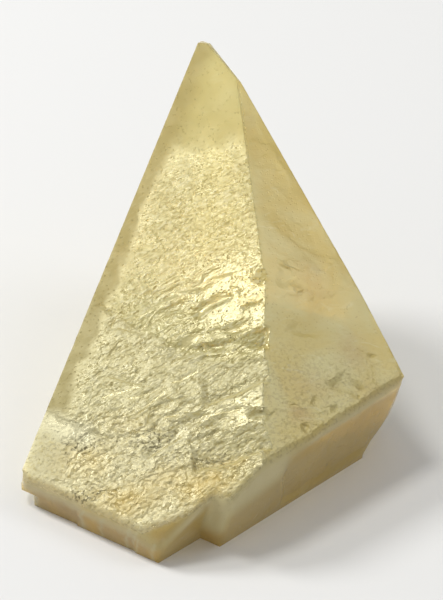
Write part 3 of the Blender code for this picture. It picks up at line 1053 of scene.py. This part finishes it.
def stone_grain(bench, marks, patterns, pit):
    """The etched skin of the left face, finer than the mesh, and the pin pits of every face."""
    peel_share = bench.times(marks["grain"], bench.ramp(marks["calm"], 0.0, 1.0, *PEEL_SHARES))
    skin = bench.bump(patterns["peel"], PEEL_DEPTH, peel_share)
    pit_share = bench.ramp(marks["left"], 0.0, 1.0, *PIT_BUMP_SHARES)
    return bench.bump(bench.times(pit, -1.0), PIT_DEPTH, pit_share, skin)


def stone():
    """Cloudy honey calcite: partly clear, with milky veils, iron stains, pin pits and an uneven polish."""
    material = bpy.data.materials.new("honey_calcite")
    material.use_nodes = True
    bench = Bench(material.node_tree)
    shader = bench.nodes["Principled BSDF"]
    marks = {name: bench.mark(name) for name in MARKS}
    turns = {"peel": grain_turn(PEEL_RISE), "wisp": WISP_TURN}
    patterns = {name: bench.pattern(name, turns.get(name, NO_TURN)) for name in PATTERNS}
    pit = bench.ramp(bench.spots(PIT_CELL), *PIT_EDGE)
    bench.give(shader.inputs["Base Color"], stone_colour(bench, marks, patterns, pit))
    bench.give(shader.inputs["Roughness"], stone_polish(bench, marks, patterns))
    bench.give(shader.inputs["Normal"], stone_grain(bench, marks, patterns, pit))
    shader.inputs["IOR"].default_value = CALCITE_IOR
    shader.inputs["Specular Tint"].default_value = GLINT_COLOUR
    shader.inputs["Transmission Weight"].default_value = CALCITE_CLEARNESS
    haze = bench.nodes.new("ShaderNodeVolumeAbsorption")
    haze.inputs["Color"].default_value = HAZE_COLOUR
    haze.inputs["Density"].default_value = HAZE_DENSITY
    bench.links.new(haze.outputs[0], bench.nodes["Material Output"].inputs["Volume"])
    return material


def stage_floor():
    """A wide sheet of matt white paper."""
    bpy.ops.mesh.primitive_plane_add(size=FLOOR_WIDTH, location=(0.0, 0.0, 0.0))
    floor = bpy.context.object
    floor.name = "paper_floor"
    material = bpy.data.materials.new("white_paper")
    material.use_nodes = True
    shader = material.node_tree.nodes["Principled BSDF"]
    shader.inputs["Base Color"].default_value = PAPER
    shader.inputs["Roughness"].default_value = PAPER_ROUGHNESS
    floor.data.materials.append(material)


def soft_lamp(name, place, width, power, colour):
    """A round soft lamp that faces the crystal."""
    light = bpy.data.lights.new(name, "AREA")
    light.shape = "DISK"
    light.size = width
    light.energy = power
    light.color = colour
    lamp = bpy.data.objects.new(name, light)
    lamp.location = place
    lamp.rotation_euler = (LAMP_TARGET - Vector(place)).to_track_quat("-Z", "Y").to_euler()
    bpy.context.scene.collection.objects.link(lamp)


def studio_room():
    """A white room, slightly brighter on the left and toward the horizon."""
    world = bpy.data.worlds.new("studio")
    world.use_nodes = True
    bench = Bench(world.node_tree)
    coordinates = bench.nodes.new("ShaderNodeTexCoord")
    split = bench.nodes.new("ShaderNodeSeparateXYZ")
    bench.links.new(coordinates.outputs["Generated"], split.inputs[0])
    sides = bench.ramp(split.outputs["X"], *ROOM_SIDES)
    rise = bench.ramp(split.outputs["Z"], *ROOM_RISE)
    background = bench.nodes["Background"]
    bench.links.new(bench.times(sides, rise), background.inputs["Strength"])
    background.inputs["Color"].default_value = (*WHITE, 1.0)
    bpy.context.scene.world = world
    bpy.context.scene.view_settings.view_transform = "Standard"


def photo_camera():
    """The camera that sees the crystal as the photograph does."""
    data = bpy.data.cameras.new("photo_camera")
    data.lens = CAMERA_LENS
    data.sensor_width = CAMERA_SENSOR
    data.clip_start = CAMERA_NEAR
    camera = bpy.data.objects.new("photo_camera", data)
    away = Vector((
        math.sin(CAMERA_AZIMUTH) * math.cos(CAMERA_ELEVATION),
        math.cos(CAMERA_AZIMUTH) * math.cos(CAMERA_ELEVATION),
        -math.sin(CAMERA_ELEVATION),
    ))
    turn = away.to_track_quat("-Z", "Y").to_matrix() @ Matrix.Rotation(CAMERA_ROLL, 3, "Z")
    camera.matrix_world = Matrix.Translation(CAMERA_PLACE) @ turn.to_4x4()
    bpy.context.scene.collection.objects.link(camera)
    bpy.context.scene.camera = camera


piece = crystal_piece()
piece.data.materials.append(stone())
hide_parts(NODE)
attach(piece, "root")
stage_floor()
for name, lamp in LAMPS.items():
    soft_lamp(name, *lamp)
studio_room()
photo_camera()
